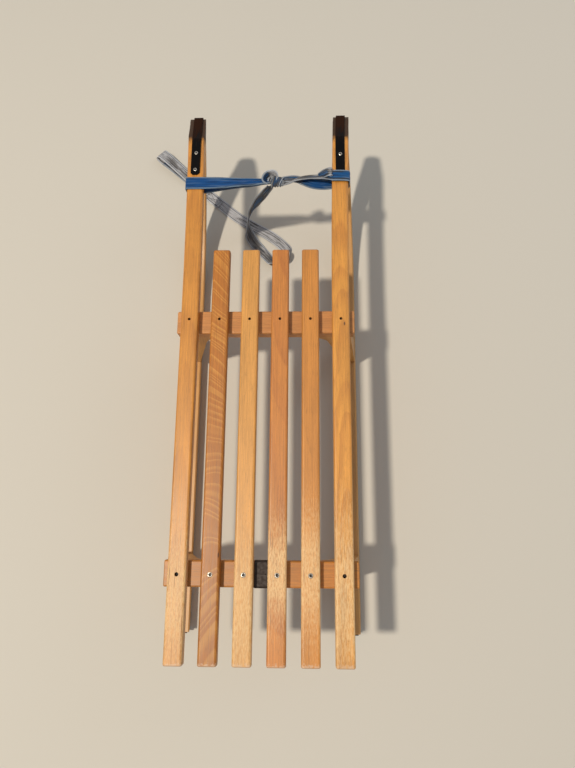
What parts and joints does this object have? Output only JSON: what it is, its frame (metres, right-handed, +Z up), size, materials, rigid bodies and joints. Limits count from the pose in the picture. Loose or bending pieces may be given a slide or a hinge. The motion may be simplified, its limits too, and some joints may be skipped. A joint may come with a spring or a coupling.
{
  "type": "wooden sled",
  "caption": "Wooden slat sled with bent wooden runners, flat steel shoes, splayed arched legs under crossbars and a knotted webbing pull strap.",
  "frame": {"origin": "on the floor at the middle of the sled's own box, without the free end of the strap", "axes": "+Z up; -Y towards the upturned front of the runners; +X to the left of a rider who faces the front"},
  "size_m": [0.4561, 1.0693, 0.2433],
  "materials": {
    "slat_wood": "clear varnish, satin",
    "frame_wood": "clear varnish, satin",
    "shoe_steel": "dark, worn and lightly rusted flat bar",
    "strap_webbing": "woven webbing"
  },
  "bodies": {
    "root": {"outer_slat_left": "slat_wood", "outer_slat_right": "slat_wood", "slat_2": "slat_wood", "slat_3": "slat_wood", "slat_4": "slat_wood", "slat_5": "slat_wood", "crossbar_front": "frame_wood", "crossbar_rear": "frame_wood", "leg_front_left": "frame_wood", "leg_front_right": "frame_wood", "leg_rear_left": "frame_wood", "leg_rear_right": "frame_wood", "runner_left": "frame_wood", "runner_right": "frame_wood", "shoe_left": "shoe_steel", "shoe_right": "shoe_steel", "strap_sling_left": "strap_webbing", "strap_sling_right": "strap_webbing", "strap_knot": "strap_webbing", "strap_tail": "strap_webbing", "strap_hand_loop": "strap_webbing"}
  },
  "joints": []
}
